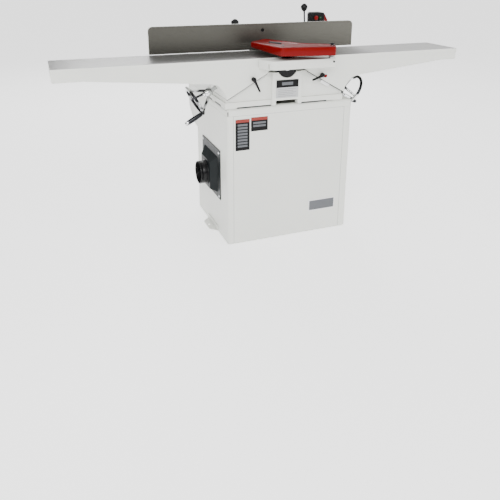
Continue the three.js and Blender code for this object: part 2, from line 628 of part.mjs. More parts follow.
// ---- Motor drive ----
function buildDrive() {
  const drive = new THREE.Group();
  drive.position.set(DRIVE.motorX, 0, DRIVE.motorZ);
  machine.add(drive);
  const { radius, front, rear } = MOTOR;
  const can = join(
    bar([0, front, 0], [0, front + 30, 0], radius - 10, 24, radius - 2),
    bar([0, front + 30 - 0.01, 0], [0, rear - 20, 0], radius, 24),
    bar([0, rear - 20.01, 0], [0, rear, 0], radius - 2, 24, radius - 14),
    block(radius - 14, radius + 28, front + 60, front + 150, -36, 36),
  );
  const shaftBore = bar([0, 60, 0], [0, rear + 5, 0], 13, 16);
  place("motor", cut(can, shaftBore), MOTOR_GREY, drive);

  const cradle = cut(
    block(-92, 92, front + 40, rear - 40, -DRIVE.motorZ + CABINET.sheet + GAP, -45),
    bar([0, 0, 0], [0, 300, 0], radius + 0.7, 24),
    block(-70, 70, 0, 300, -DRIVE.motorZ, -radius - 12),
  );
  place("motor_mount", cradle, CAST, drive);

  const rotor = join(
    bar([0, 70, 0], [0, DRIVE.y + DRIVE.width + 3, 0], 12, 16),
    bar([0, DRIVE.y, 0], [0, DRIVE.y + 3, 0], DRIVE.motorPulley, 24),
    bar([0, DRIVE.y + 3, 0], [0, DRIVE.y + 7, 0], DRIVE.motorPulley, 24, DRIVE.motorPulley - 6),
    bar([0, DRIVE.y + 6.9, 0], [0, DRIVE.y + 13.1, 0], DRIVE.motorPulley - 6, 24),
    bar([0, DRIVE.y + 13, 0], [0, DRIVE.y + 17, 0], DRIVE.motorPulley - 6, 24, DRIVE.motorPulley),
    bar([0, DRIVE.y + 17, 0], [0, DRIVE.y + DRIVE.width, 0], DRIVE.motorPulley, 24),
  );
  place("motor_pulley", rotor, CAST, drive);

  // The belt: the outer outline round both pulleys less the inner one.
  const loop = (grow) => {
    const from = new THREE.Vector2(DRIVE.motorX, DRIVE.motorZ);
    const to = new THREE.Vector2(CUTTER.x, CUTTER.z);
    const span = to.clone().sub(from);
    const big = DRIVE.motorPulley - 6 + grow;
    const small = DRIVE.cutterPulley - 6 + grow;
    const lean = Math.asin((big - small) / span.length());
    const heading = span.angle();
    const points = [];
    const steps = 14;
    for (let k = 0; k <= steps; k++) {
      const a = heading + Math.PI / 2 - lean + ((Math.PI + 2 * lean) * k) / steps;
      points.push(from.clone().add(new THREE.Vector2(Math.cos(a), Math.sin(a)).multiplyScalar(big)));
    }
    for (let k = 0; k <= steps; k++) {
      const a = heading - Math.PI / 2 + lean + ((Math.PI - 2 * lean) * k) / steps;
      points.push(to.clone().add(new THREE.Vector2(Math.cos(a), Math.sin(a)).multiplyScalar(small)));
    }
    return new THREE.Shape(points);
  };
  const [beltFront, beltRear] = [DRIVE.y + 7.4, DRIVE.y + 12.6];
  const beltInside = frontPrism(loop(0.8), beltFront - 1, beltRear + 1);
  const belt = cut(frontPrism(loop(7.5), beltFront, beltRear), beltInside);
  place("drive_belt", belt, RUBBER);

  const cover = (inset) => rounded([
    [-8 + inset, CABINET.height + 0.8 - (inset ? 5 : 0)],
    [110 - inset, CABINET.height + 0.8 - (inset ? 5 : 0)],
    [100 - inset, 690],
    [100 - inset, 776 - inset, 26 - inset],
    [-8 + inset, 776 - inset, 26 - inset],
  ]);
  const coverFront = BASE.rear + BASE.flangeOut + 1;
  const hollow = frontPrism(cover(3), coverFront - 4, 329);
  place("belt_guard", cut(frontPrism(cover(0), coverFront, 332), hollow), BLACK);
}

// ---- Fence ----
function buildFence() {
  const { left, right, face, thick, low, high, corner } = FENCE;
  const back = face + thick;
  const corners = [[left, low, 2], [right, low, 2], [right, high, corner], [left, high, corner]];
  const outline = rounded(corners, 6);
  const plate = frontPrism(outline, face, back);
  const rib = block(left + 36, right - 36, back - 1, back + 10, 832, 843);
  const hole = bar([8, face - 5, 862], [8, back + 5, 862], 7.5, 24);
  const hangers = [42, 178];
  const cuts = [hole];
  for (const x of hangers) {
    cuts.push(block(x - 7, x + 7, TILT.y - TILT.boss - 0.6, back + 1, low - 5, 800));
    cuts.push(bar([x - 24, TILT.y, TILT.z], [x + 24, TILT.y, TILT.z], TILT.pin + 0.2, 16));
  }
  place("fence", cut(join(plate, rib), ...cuts), FENCE_IRON);
  hangers.forEach((x, k) => {
    const pin = bar([x - 22, TILT.y, TILT.z], [x + 22, TILT.y, TILT.z], TILT.pin, 16);
    place(`fence_hinge_pin_${k + 1}`, pin, STEEL);
  });

  const { left: slabLeft, right: slabRight, front, rear, low: slabLow, high: slabHigh } = CARRIAGE;
  const slab = block(slabLeft, slabRight, front, rear, slabLow, slabHigh);
  const wings = block(-92, 284, 308, 352, CARRIAGE.low, CARRIAGE.high);
  const spine = block(96, 124, 310, CARRIAGE.rear - 10, CARRIAGE.high - 1, CARRIAGE.high + 24);
  const ears = hangers.map((x) => {
    const arm = block(x - 6, x + 6, TILT.y, CARRIAGE.front + 1, CARRIAGE.low, TILT.z + TILT.boss);
    const boss = bar([x - 6, TILT.y, TILT.z], [x + 6, TILT.y, TILT.z], TILT.boss, 20);
    return join(arm, boss);
  });
  const pinHoles = hangers.map((x) =>
    bar([x - 8, TILT.y, TILT.z], [x + 8, TILT.y, TILT.z], TILT.pin + 0.25, 16));
  const stems = [[-71, 330], [267, 330]].map(([x, y]) =>
    bar([x, y, CARRIAGE.low + 4], [x, y, CARRIAGE.high + 5], 8.5, 20));
  place("fence_carriage", cut(join(slab, wings, spine, ...ears), ...pinHoles, ...stems), WHITE);

  const bed = block(BED.left, BED.right, BED.front, BED.rear, BED.low, BED.high);
  const web = sidePrism([[281, 640], [303, 640], [330, BED.low + 1], [281, BED.low + 1]], 116, 188);
  const foot = block(116, 188, 276 + BASE.flangeOut, 303, 614, 642);
  place("fence_support", join(bed, web, foot), WHITE);

  const knob = join(
    bar([0, 0, CARRIAGE.low + 5], [0, 0, 880], 8, 20, 6),
    turned([[0, 872], [9, 872], [17, 880], [18, 889], [13, 897], [0, 900]], 16),
  );
  place("fence_tilt_knob", knob, BLACK).position.set(-71, 330, 0);

  const stem = bar([0, 0, CARRIAGE.low + 5], [0, 0, 806], 8, 20);
  const rod = bar([0, 0, 803], [-8, 0, 928], 3.6, 14);
  place("fence_lock_lever", join(stem, rod), BLACK).position.set(267, 330, 0);
  const ball = turned([
    [0, -19.5], [6, -18.5], [11, -11], [15, 1], [15, 10], [10.5, 17], [0, 19.5],
  ], 16);
  const socket = bar([1.2, 0, -30], [0, 0, -8], 5, 14);
  place("fence_lever_knob", cut(ball, socket), BLACK).position.set(258.2, 330, 940);
}

// ---- Switch ----
function buildSwitch() {
  const { left, right, front, rear, low, high } = SWITCH;
  const middle = (left + right) / 2;
  const post = join(
    bar([middle, 360, CABINET.height + GAP], [middle, 360, low - GAP], 12, 24),
    bar([middle, 360, CABINET.height + GAP], [middle, 360, CABINET.height + 8], 30, 28),
  );
  place("switch_post", post, BLACK);
  const outline = rounded([[left, low, 6], [right, low, 6], [right, high, 6], [left, high, 6]], 4);
  const taper = [[left - 5, front + 2], [left + 28, rear], [left + 28, rear + 5], [left - 5, rear + 5]];
  const leftTaper = planPrism(taper, low - 5, high + 5);
  const buttons = [
    ["stop_button", left + 40, 10, RED],
    ["start_button", left + 60, 7, GREEN],
  ];
  const wells = buttons.map(([, x, radius]) =>
    bar([x, front - 5, 894], [x, front + 14, 894], radius + 0.5, 24));
  const hingeSlot = block(right - 6, right + 2, front + 14, front + 38, 870, 912);
  place("switch_box", cut(frontPrism(outline, front, rear), leftTaper, ...wells, hingeSlot), BLACK);
  for (const [name, x, radius, look] of buttons) {
    place(name, bar([x, front - 5, 894], [x, front + 9, 894], radius, 24), look);
  }
  const paddle = frontPrism(
    rounded([[0, 6, 3], [12, 6, 4], [30, -26, 4], [17, -30, 4], [-3, 0]], 3), 0, 20,
  );
  place("stop_paddle", paddle, RED).position.set(right - 1, front + 16, 903);
}

// ---- Cord inlet ----
function buildCordInlet() {
  const inlet = cut(
    turned([[0, 0], [15, 0], [15, 5], [10, 7], [8, 22], [0, 22]], 14),
    bar([0, 0, 4], [0, 0, 30], 4.5, 16),
  );
  const gland = place("cord_gland", inlet, BLACK);
  gland.rotation.x = -Math.PI / 2;
  gland.position.set(250, CABINET.rear + GAP, 70);
}

buildCabinet();
buildDustPort();
buildBase();
const infeedGroup = buildTables();
buildScrewNuts();
buildGuard(infeedGroup);
buildCutterhead();
buildDrive();
buildFence();
buildSwitch();
buildCordInlet();

export default machine;
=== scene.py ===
# The looks of an 8-inch cabinet jointer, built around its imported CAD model. Everything is in metres.
import json
import math

import bmesh
import bpy
from mathutils import Euler, Matrix, Vector


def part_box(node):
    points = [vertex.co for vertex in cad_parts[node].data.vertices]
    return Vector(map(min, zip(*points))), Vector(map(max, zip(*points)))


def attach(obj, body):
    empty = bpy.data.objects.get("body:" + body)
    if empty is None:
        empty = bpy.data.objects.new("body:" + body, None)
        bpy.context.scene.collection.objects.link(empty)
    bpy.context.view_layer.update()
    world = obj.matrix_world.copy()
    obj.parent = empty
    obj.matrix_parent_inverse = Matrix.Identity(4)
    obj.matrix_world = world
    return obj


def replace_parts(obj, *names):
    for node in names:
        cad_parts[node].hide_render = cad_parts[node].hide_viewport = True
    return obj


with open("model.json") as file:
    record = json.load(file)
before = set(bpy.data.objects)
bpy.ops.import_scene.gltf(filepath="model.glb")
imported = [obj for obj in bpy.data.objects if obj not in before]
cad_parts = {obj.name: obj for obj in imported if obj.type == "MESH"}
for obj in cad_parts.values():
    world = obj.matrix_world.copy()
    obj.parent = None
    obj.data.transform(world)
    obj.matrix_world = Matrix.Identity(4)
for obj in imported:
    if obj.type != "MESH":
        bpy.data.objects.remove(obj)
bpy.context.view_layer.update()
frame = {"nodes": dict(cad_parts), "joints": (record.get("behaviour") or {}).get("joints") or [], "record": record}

MM = 0.001
NODES = frame["nodes"]
JOINTS = {joint["name"]: joint for joint in frame["joints"]}
UP = Vector((0, 0, 1))

TABLE_FRONT = -0.244                 # y of the tables' front edge
CUTTER_X = 0.033                     # x of the cutterhead's axis
WAY_SLOPE = math.radians(29.4)       # slope of the base's ways
WAY_TOP = 0.7195                     # height at which the ways' slopes start
INFEED_DROP = 0.004                  # how far the infeed table sits below the outfeed table
GUARD_X = 0.184                      # x of the guard's pivot before the infeed table is lowered

WELD_DISTANCE = 0.00002
FLAT_ANGLE = math.radians(0.6)       # faces that turn less than this are joined
BEVEL_ANGLE = math.radians(30)
PLAIN_EDGE = 0.0006                  # rounding of an edge with no size of its own


def joint_point(name):
    return Vector(JOINTS[name]["pos_m"])


def joint_axis(name):
    return Vector(JOINTS[name]["axis"]).normalized()


# ---------------------------------------------------------------- materials
class Recipe:
    """A Principled material with helpers for procedural inputs."""

    def __init__(self, name, rgb, rough, metallic=0.0, specular=0.5):
        self.material = bpy.data.materials.new(name)
        self.material.use_nodes = True
        self.tree = self.material.node_tree
        self.shader = self.tree.nodes["Principled BSDF"]
        self.shader.inputs["Base Color"].default_value = (*rgb, 1)
        self.shader.inputs["Roughness"].default_value = rough
        self.shader.inputs["Metallic"].default_value = metallic
        self.shader.inputs["Specular IOR Level"].default_value = specular
        self.coords = self.node("ShaderNodeTexCoord").outputs["Object"]

    def node(self, kind, **values):
        made = self.tree.nodes.new(kind)
        for key, value in values.items():
            setattr(made, key, value)
        return made

    def link(self, source, target):
        self.tree.links.new(source, target)

    def noise(self, scale, detail=4.0, stretch=(1, 1, 1)):
        """A noise between 0 and 1, with that many features per metre along each axis."""
        mapping = self.node("ShaderNodeMapping")
        mapping.inputs["Scale"].default_value = stretch
        noise = self.node("ShaderNodeTexNoise")
        noise.inputs["Scale"].default_value = scale
        noise.inputs["Detail"].default_value = detail
        self.link(self.coords, mapping.inputs["Vector"])
        self.link(mapping.outputs["Vector"], noise.inputs["Vector"])
        return noise.outputs["Fac"]

    def ramp(self, value, low, high, start=0.3, end=0.7):
        """Maps a value from start..end to low..high."""
        scaled = self.node("ShaderNodeMapRange")
        scaled.inputs["From Min"].default_value = start
        scaled.inputs["From Max"].default_value = end
        scaled.inputs["To Min"].default_value = low
        scaled.inputs["To Max"].default_value = high
        self.link(value, scaled.inputs["Value"])
        return scaled.outputs["Result"]

    def mix(self, factor, first, second):
        """A colour between two colours or sockets. Sockets 6, 7 and 2 are the colour ones."""
        mixer = self.node("ShaderNodeMix", data_type="RGBA")
        self.link(factor, mixer.inputs["Factor"])
        for socket, value in ((mixer.inputs[6], first), (mixer.inputs[7], second)):
            if isinstance(value, bpy.types.NodeSocket):
                self.link(value, socket)
            else:
                socket.default_value = (*value, 1)
        return mixer.outputs[2]

    def color(self, socket):
        self.link(socket, self.shader.inputs["Base Color"])

    def roughness(self, socket):
        self.link(socket, self.shader.inputs["Roughness"])

    def bump(self, height, strength, distance):
        bumper = self.node("ShaderNodeBump")
        bumper.inputs["Strength"].default_value = strength
        bumper.inputs["Distance"].default_value = distance
        self.link(height, bumper.inputs["Height"])
        self.link(bumper.outputs["Normal"], self.shader.inputs["Normal"])

    def axis(self, name):
        """One of the object coordinates, in metres."""
        split = self.node("ShaderNodeSeparateXYZ")
        self.link(self.coords, split.inputs["Vector"])
        return split.outputs[name]

    def above(self, value, limit):
        compare = self.node("ShaderNodeMath", operation="GREATER_THAN")
        compare.inputs[1].default_value = limit
        self.link(value, compare.inputs[0])
        return compare.outputs["Value"]


def shade(rgb, factor):
    return tuple(min(1.0, channel * factor) for channel in rgb)


PAINT_RGB = (0.69, 0.70, 0.655)
GROUND_RGB = (0.33, 0.33, 0.325)
FENCE_RGB = (0.098, 0.095, 0.082)


def coated(name, rgb, rough, peel=0.10, vary=0.035, specular=0.5):
    """Sprayed paint or powder coat: slight colour drift and an orange-peel surface."""
    made = Recipe(name, rgb, rough, specular=specular)
    tone_drift_and_painted_reflection = made.noise(5.0, 2.0)
    made.color(made.mix(tone_drift_and_painted_reflection, shade(rgb, 1 - vary), shade(rgb, 1 + vary)))
    made.roughness(made.ramp(made.noise(40.0), rough - 0.05, rough + 0.06))
    made.bump(made.noise(420.0, 3.0), peel, 0.0004)
    return made.material


def cast_paint(name, rgb, rough):
    """Paint over a sand casting, with the casting's texture showing through."""
    made = Recipe(name, rgb, rough)
    made.color(made.mix(made.noise(7.0, 3.0), shade(rgb, 0.955), shade(rgb, 1.03)))
    made.roughness(made.ramp(made.noise(60.0), rough - 0.06, rough + 0.08))
    made.bump(made.noise(260.0, 6.0), 0.16, 0.0007)
    return made.material


def bare_cast(name, rgb):
    made = Recipe(name, rgb, 0.6, metallic=0.55)
    made.color(made.mix(made.noise(30.0), shade(rgb, 0.75), shade(rgb, 1.25)))
    made.bump(made.noise(350.0, 6.0), 0.35, 0.0008)
    return made.material


def turned_steel(name, rgb, rough):
    made = Recipe(name, rgb, rough, metallic=1.0)
    grain = made.noise(600.0, 3.0)
    made.color(made.mix(grain, shade(rgb, 0.88), shade(rgb, 1.06)))
    made.roughness(made.ramp(made.noise(90.0), rough - 0.05, rough + 0.08))
    made.bump(grain, 0.05, 0.0002)
    return made.material


def chrome(name):
    """Polished plate with a painted reflection: light and dark streaks of the shop painted into its colour."""
    made = Recipe(name, (0.6, 0.61, 0.62), 0.08, metallic=1.0)
    painted_reflection_streaks = made.ramp(made.noise(21.0, 1.0, (1.0, 0.6, 1.4)), 0.0, 1.0, 0.50, 0.60)
    made.color(made.mix(painted_reflection_streaks, (0.022, 0.023, 0.025), (0.74, 0.75, 0.76)))
    made.roughness(made.ramp(made.noise(35.0, 4.0), 0.05, 0.13))
    return made.material


def moulded(name, rgb, rough, grain=0.12):
    """Moulded plastic with a fine spark-eroded grain."""
    made = Recipe(name, rgb, rough, specular=0.2)
    texture = made.noise(900.0, 3.0)
    made.color(made.mix(made.noise(25.0), shade(rgb, 0.85), shade(rgb, 1.2)))
    made.roughness(made.ramp(made.noise(80.0), rough - 0.05, rough + 0.08))
    made.bump(texture, grain, 0.0003)
    return made.material


def two_tone_table(name, top):
    """White painted casting whose top face is bare ground iron, with painted reflections along the top."""
    made = Recipe(name, PAINT_RGB, 0.42)
    is_top = made.above(made.axis("Z"), top - 0.0005)
    marks = made.noise(28.0, 6.0, (1, 40, 40))
    # Painted reflection: the ground top darkens from the outfeed table's far end towards the cutterhead and stays
    # dark beyond.
    painted_dark_reflection = made.ramp(made.axis("X"), 0.62, 1.0, -0.12, -0.62)
    metal = made.mix(painted_dark_reflection, made.mix(marks, shade(GROUND_RGB, 0.60), shade(GROUND_RGB, 0.72)), GROUND_RGB)
    # Painted reflection: the ground top turns paler and less metallic towards the infeed table's far end.
    painted_light_reflection = made.ramp(made.axis("X"), 0.0, 1.0, 0.24, 0.46)
    metal = made.mix(painted_light_reflection, metal, shade(GROUND_RGB, 1.9))
    share = made.node("ShaderNodeMath", operation="MULTIPLY")
    made.link(is_top, share.inputs[0])
    made.link(made.ramp(painted_light_reflection, 0.85, 0.15, 0.0, 1.0), share.inputs[1])
    body = made.mix(made.noise(7.0, 3.0), shade(PAINT_RGB, 0.96), shade(PAINT_RGB, 1.03))
    made.color(made.mix(is_top, body, metal))
    made.link(share.outputs["Value"], made.shader.inputs["Metallic"])
    made.roughness(made.ramp(marks, 0.26, 0.38))
    made.bump(made.noise(260.0, 6.0), 0.05, 0.0004)
    return made.material


def fence_finish(name, face):
    """The fence: a ground face and upper edge with a painted reflection, and white paint on the back."""
    made = Recipe(name, FENCE_RGB, 0.34)
    is_back = made.above(made.axis("Y"), face + 0.004)
    marks = made.noise(24.0, 6.0, (1, 40, 60))
    # Painted reflection: the ground face goes from dark at the outfeed end to light at the infeed end.
    tone_drift_and_painted_reflection = made.ramp(made.axis("X"), 0.0, 1.0, -0.5, 0.45)
    painted_reflection_tone = made.mix(tone_drift_and_painted_reflection, shade(FENCE_RGB, 0.72), shade(FENCE_RGB, 1.6))
    metal = made.mix(marks, painted_reflection_tone, shade(FENCE_RGB, 1.05))
    made.color(made.mix(is_back, metal, PAINT_RGB))
    made.link(made.ramp(is_back, 0.82, 0.0, 0.0, 1.0), made.shader.inputs["Metallic"])
    made.roughness(made.ramp(marks, 0.27, 0.42))
    made.bump(marks, 0.06, 0.0002)
    return made.material


MATS = {
    "white_paint": coated("white_paint", PAINT_RGB, 0.38),
    "white_cast": cast_paint("white_cast_paint", PAINT_RGB, 0.45),
    "rough_iron": bare_cast("rough_iron", (0.12, 0.12, 0.125)),
    "steel": turned_steel("turned_steel", (0.55, 0.56, 0.57), 0.3),
    "chrome": chrome("chrome_plate"),
    "black_plastic": moulded("black_plastic", (0.0035, 0.0035, 0.004), 0.3),
    "dark_sheet": coated("dark_sheet", (0.005, 0.0075, 0.008), 0.38, peel=0.2, vary=0.12, specular=0.15),
    "red_guard": coated("red_guard", (0.135, 0.0001, 0.0003), 0.36, peel=0.02, vary=0.04, specular=0.12),
    "red_plastic": moulded("red_plastic", (0.155, 0.0004, 0.001), 0.28, 0.03),
    "green_plastic": moulded("green_plastic", (0.001, 0.03, 0.006), 0.3, 0.03),
    "rubber": moulded("rubber", (0.018, 0.018, 0.018), 0.75, 0.3),
    "motor_paint": coated("motor_paint", (0.045, 0.05, 0.055), 0.45, peel=0.25, vary=0.1),
    "label": coated("label_foil", (0.36, 0.37, 0.38), 0.45, peel=0.02),
    "outfeed_table": two_tone_table("outfeed_table_finish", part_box("outfeed_table")[1].z),
    "infeed_table": two_tone_table("infeed_table_finish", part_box("infeed_table")[1].z),
    "fence": fence_finish("fence_finish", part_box("fence")[0].y),
}
CAST_NODES = {"base_casting", "rabbeting_ledge", "fence_carriage", "fence_support"}


def finish_of(node, slot):
    if node in MATS:
        return MATS[node]
    if node in CAST_NODES:
        return MATS["white_cast"]
    return MATS.get(slot, MATS["white_paint"])


# ---------------------------------------------------------------- mesh tools
def link_mesh(name, mesh, material, body, place=None):
    """Puts a finished bmesh in the scene as a piece that rides on a body."""
    bmesh.ops.recalc_face_normals(mesh, faces=mesh.faces)
    data = bpy.data.meshes.new(name)
    mesh.to_mesh(data)
    mesh.free()
    if place is not None:
        data.transform(place)
    data.materials.append(material)
    piece = bpy.data.objects.new(name, data)
    bpy.context.scene.collection.objects.link(piece)
    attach(piece, body)
    return piece


def smooth(piece, degrees=35.0):
    """Smooth shading that keeps edges sharper than the angle."""
    for polygon in piece.data.polygons:
        polygon.use_smooth = True
    limit = math.radians(degrees)
    mesh = bmesh.new()
    mesh.from_mesh(piece.data)
    for edge in mesh.edges:
        if len(edge.link_faces) == 2 and edge.calc_face_angle(0.0) > limit:
            edge.smooth = False
    mesh.to_mesh(piece.data)
    mesh.free()
    return piece


def bevel(piece, width, segments=3):
    """Rounds every edge sharper than the bevel angle."""
    made = piece.modifiers.new("edge_round", "BEVEL")
    made.width = width
    made.segments = segments
    made.limit_method = "ANGLE"
    made.angle_limit = BEVEL_ANGLE
    made.use_clamp_overlap = True
    made.harden_normals = False
    return piece


def ring(mesh, points):
    return [mesh.verts.new(point) for point in points]


def bridge(mesh, first, second):
    count = len(first)
    for k in range(count):
        n = (k + 1) % count
        mesh.faces.new((first[k], first[n], second[n], second[k]))


def lathe(mesh, profile, segments=48, centre=Vector((0, 0, 0))):
    """Turns [radius, height] pairs about +Z. A radius of 0 closes the end."""
    last = None
    for radius, height in profile:
        if radius <= 0:
            here = [mesh.verts.new(centre + Vector((0, 0, height)))]
        else:
            angles = [2 * math.pi * k / segments for k in range(segments)]
            here = ring(mesh, [
                centre + Vector((radius * math.cos(a), radius * math.sin(a), height)) for a in angles
            ])
        if last is not None:
            if len(last) == 1:
                for k in range(segments):
                    mesh.faces.new((last[0], here[k], here[(k + 1) % segments]))
            elif len(here) == 1:
                for k in range(segments):
                    mesh.faces.new((last[(k + 1) % segments], last[k], here[0]))
            else:
                bridge(mesh, last, here)
        last = here


def torus(mesh, major, minor, around=72, across=20, squash=1.0):
    rings = []
    for k in range(around):
        a = 2 * math.pi * k / around
        out = Vector((math.cos(a), math.sin(a), 0))
        rings.append(ring(mesh, [
            out * (major + minor * math.cos(b)) + UP * minor * squash * math.sin(b)
            for b in (2 * math.pi * j / across for j in range(across))
        ]))
    for k in range(around):
        bridge(mesh, rings[k], rings[(k + 1) % around])


def tube(mesh, points, radii, across=16, flat=1.0):
    """A closed tube through points, with a radius at each. flat narrows it along its second axis."""
    side = None
    rings = []
    for k, point in enumerate(points):
        ahead = points[min(k + 1, len(points) - 1)] - points[max(k - 1, 0)]
        ahead.normalize()
        if side is None:
            side = ahead.orthogonal().normalized()
        side = (side - ahead * side.dot(ahead)).normalized()
        other = ahead.cross(side)
        rings.append(ring(mesh, [
            point + side * radii[k] * math.cos(a) + other * radii[k] * flat * math.sin(a)
            for a in (2 * math.pi * j / across for j in range(across))
        ]))
    for first, second in zip(rings, rings[1:]):
        bridge(mesh, first, second)
    mesh.faces.new(rings[0][::-1])
    mesh.faces.new(rings[-1])


def slab(mesh, low, high):
    """A plain box between two corners, whose edges some callers round."""
    made = bmesh.ops.create_cube(mesh, size=1.0)["verts"]
    size = Vector(high) - Vector(low)
    centre = (Vector(high) + Vector(low)) / 2
    for vertex in made:
        vertex.co = Vector(vertex.co[k] * size[k] for k in range(3)) + centre


def rounded_outline(corners, steps=6):
    """Points round a closed outline of (x, y, corner radius)."""
    out = []
    count = len(corners)
    for k, (x, y, radius) in enumerate(corners):
        here = Vector((x, y))
        before = (Vector(corners[k - 1][:2]) - here).normalized()
        after = (Vector(corners[(k + 1) % count][:2]) - here).normalized()
        half = math.acos(max(-1.0, min(1.0, before.dot(after)))) / 2
        centre = here + (before + after).normalized() * (radius / math.sin(half))
        start = here + before * (radius / math.tan(half)) - centre
        end = here + after * (radius / math.tan(half)) - centre
        sweep = math.atan2(start.x * end.y - start.y * end.x, start.dot(end))
        for j in range(steps + 1):
            out.append(centre + Matrix.Rotation(sweep * j / steps, 2) @ start)
    return out


def inset(outline, distance):
    """The outline moved inwards, for one that runs anticlockwise."""
    count = len(outline)
    moved = []
    for k, point in enumerate(outline):
        before = (point - outline[k - 1]).normalized()
        after = (outline[(k + 1) % count] - point).normalized()
        inward = Vector((-before.y, before.x)) + Vector((-after.y, after.x))
        inward.normalize()
        lean = max(0.35, inward.dot(Vector((-before.y, before.x))))
        moved.append(point + inward * distance / lean)
    return moved


def facing(direction, origin):
    """A placement whose local +Z points along direction."""
    turn = UP.rotation_difference(Vector(direction)).to_matrix().to_4x4()
    return Matrix.Translation(origin) @ turn


# ---------------------------------------------------------------- CAD nodes
EDGE = {
    "base_casting": 0.003, "outfeed_table": 0.0018, "infeed_table": 0.0018, "rabbeting_ledge": 0.003,
    "fence": 0.0012, "fence_carriage": 0.003, "fence_support": 0.003, "switch_box": 0.003,
    "motor": 0.003, "motor_mount": 0.002, "dust_chute": 0.0015, "belt_guard": 0.002,
    "left_anchor_foot": 0.001, "right_anchor_foot": 0.001, "rear_hood": 0.0012,
    "cabinet_top_pan": 0.0012, "front_bearing_housing": 0.001, "rear_bearing_housing": 0.001,
}


def dress_cad():
    slots = {part["node"]: part["material_slot"] for part in frame["record"]["subparts"]}
    for name, node in NODES.items():
        node.data.materials.clear()
        node.data.materials.append(finish_of(name, slots[name]))
        merge = node.modifiers.new("merge", "WELD")
        merge.merge_threshold = WELD_DISTANCE
        flatten = node.modifiers.new("flatten", "DECIMATE")
        flatten.decimate_type = "DISSOLVE"
        flatten.angle_limit = FLAT_ANGLE
        bevel(node, EDGE.get(name, PLAIN_EDGE), 2)


# ---------------------------------------------------------------- handwheels
WHEEL_RIM, WHEEL_TUBE, WHEEL_DISH = 0.060, 0.0065, 0.063


def build_handwheel(side):
    joint = f"{side}_wheel_turn"
    place = facing(joint_axis(joint), joint_point(joint))
    handle = place.inverted() @ joint_point(f"{side}_grip_spin")
    wheel_angle = math.atan2(handle.y, handle.x)
    mesh = bmesh.new()
    torus(mesh, WHEEL_RIM, WHEEL_TUBE, squash=0.92)
    steps = 14
    for k in range(3):
        a = wheel_angle + 2 * math.pi * k / 3
        out = Vector((math.cos(a), math.sin(a), 0))
        path, radii = [], []
        for j in range(steps + 1):
            t = j / steps
            bend = t * t * (3 - 2 * t)
            reach = 0.010 + (WHEEL_RIM - 0.010) * t
            rise = (WHEEL_DISH - 0.008) * (0.35 * t + 0.65 * bend)
            path.append(out * reach + UP * (-WHEEL_DISH + 0.006 + rise))
            radii.append(0.0078 - 0.0024 * math.sin(math.pi * min(1.0, t * 0.62)))
        tube(mesh, path, radii, 16, 0.8)
    lathe(mesh, [
        (0, -0.0768), (0.0155, -0.0768), (0.017, -0.0755), (0.017, -0.060), (0.0155, -0.052),
        (0.0138, -0.0468), (0.0125, -0.0455), (0.0085, -0.0455), (0.0085, -0.0405), (0.0072, -0.039),
        (0, -0.0388),
    ], 40)
    pin = Vector((math.cos(wheel_angle), math.sin(wheel_angle), 0)) * WHEEL_RIM
    lathe(mesh, [
        (0, 0.001), (0.006, 0.001), (0.006, 0.0075), (0.004, 0.008), (0.004, 0.058), (0, 0.058),
    ], 20, pin)
    wheel = link_mesh(f"{side}_wheel_casting", mesh, MATS["chrome"], f"{side}_wheel", place)
    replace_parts(smooth(wheel, 50), f"{side}_handwheel")

    mesh = bmesh.new()
    lathe(mesh, [
        (0, 0.0092), (0.0046, 0.0092), (0.0072, 0.0088), (0.0080, 0.0096), (0.0084, 0.0125), (0.0088, 0.020),
        (0.0096, 0.036), (0.0098, 0.052), (0.0093, 0.066), (0.0084, 0.076), (0.0072, 0.082),
        (0.0045, 0.0855), (0, 0.0862),
    ], 40, pin)
    grip = link_mesh(f"{side}_wheel_grip", mesh, MATS["chrome"], f"{side}_grip", place)
    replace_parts(smooth(grip, 60), f"{side}_handwheel_grip")


